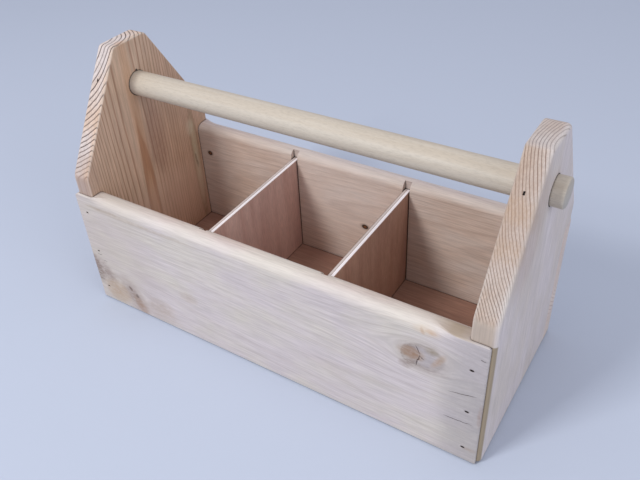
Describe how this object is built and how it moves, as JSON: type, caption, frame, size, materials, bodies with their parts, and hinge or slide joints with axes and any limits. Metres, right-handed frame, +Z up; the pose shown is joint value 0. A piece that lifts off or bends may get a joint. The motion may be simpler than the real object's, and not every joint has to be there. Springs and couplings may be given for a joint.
{
  "type": "wooden tool tote",
  "caption": "Open wooden tool tote with tall sloped ends, a round dowel handle between them and loose plywood dividers that slide in dadoes.",
  "frame": {"origin": "on the ground, midway between the two ends and midway from front to back", "axes": "+X along the handle towards the right end, +Y from the front board to the back board, +Z up"},
  "size_m": [0.454, 0.184, 0.2685],
  "materials": {
    "pine": "planed and sanded, unfinished",
    "plywood": "thin plywood, brown face veneer, unfinished",
    "hardwood_dowel": "smooth turned dowel, unfinished",
    "nail_steel": "flat steel brads, punched below the surface"
  },
  "bodies": {
    "box": {"left_end": "pine", "right_end": "pine", "front_board": "pine", "back_board": "pine", "bottom_board": "pine", "handle_dowel": "hardwood_dowel", "front_left_nails": "nail_steel", "front_right_nails": "nail_steel", "back_left_nails": "nail_steel", "back_right_nails": "nail_steel", "left_handle_nail": "nail_steel", "right_handle_nail": "nail_steel"},
    "left_divider": {"left_divider": "plywood"},
    "right_divider": {"right_divider": "plywood"}
  },
  "joints": [
    {"name": "left_divider_lift", "type": "slide", "parent": "box", "child": "left_divider", "axis": [0, 0, 1], "range_m": [0, 0.08]},
    {"name": "right_divider_lift", "type": "slide", "parent": "box", "child": "right_divider", "axis": [0, 0, 1], "range_m": [0, 0.08]}
  ]
}
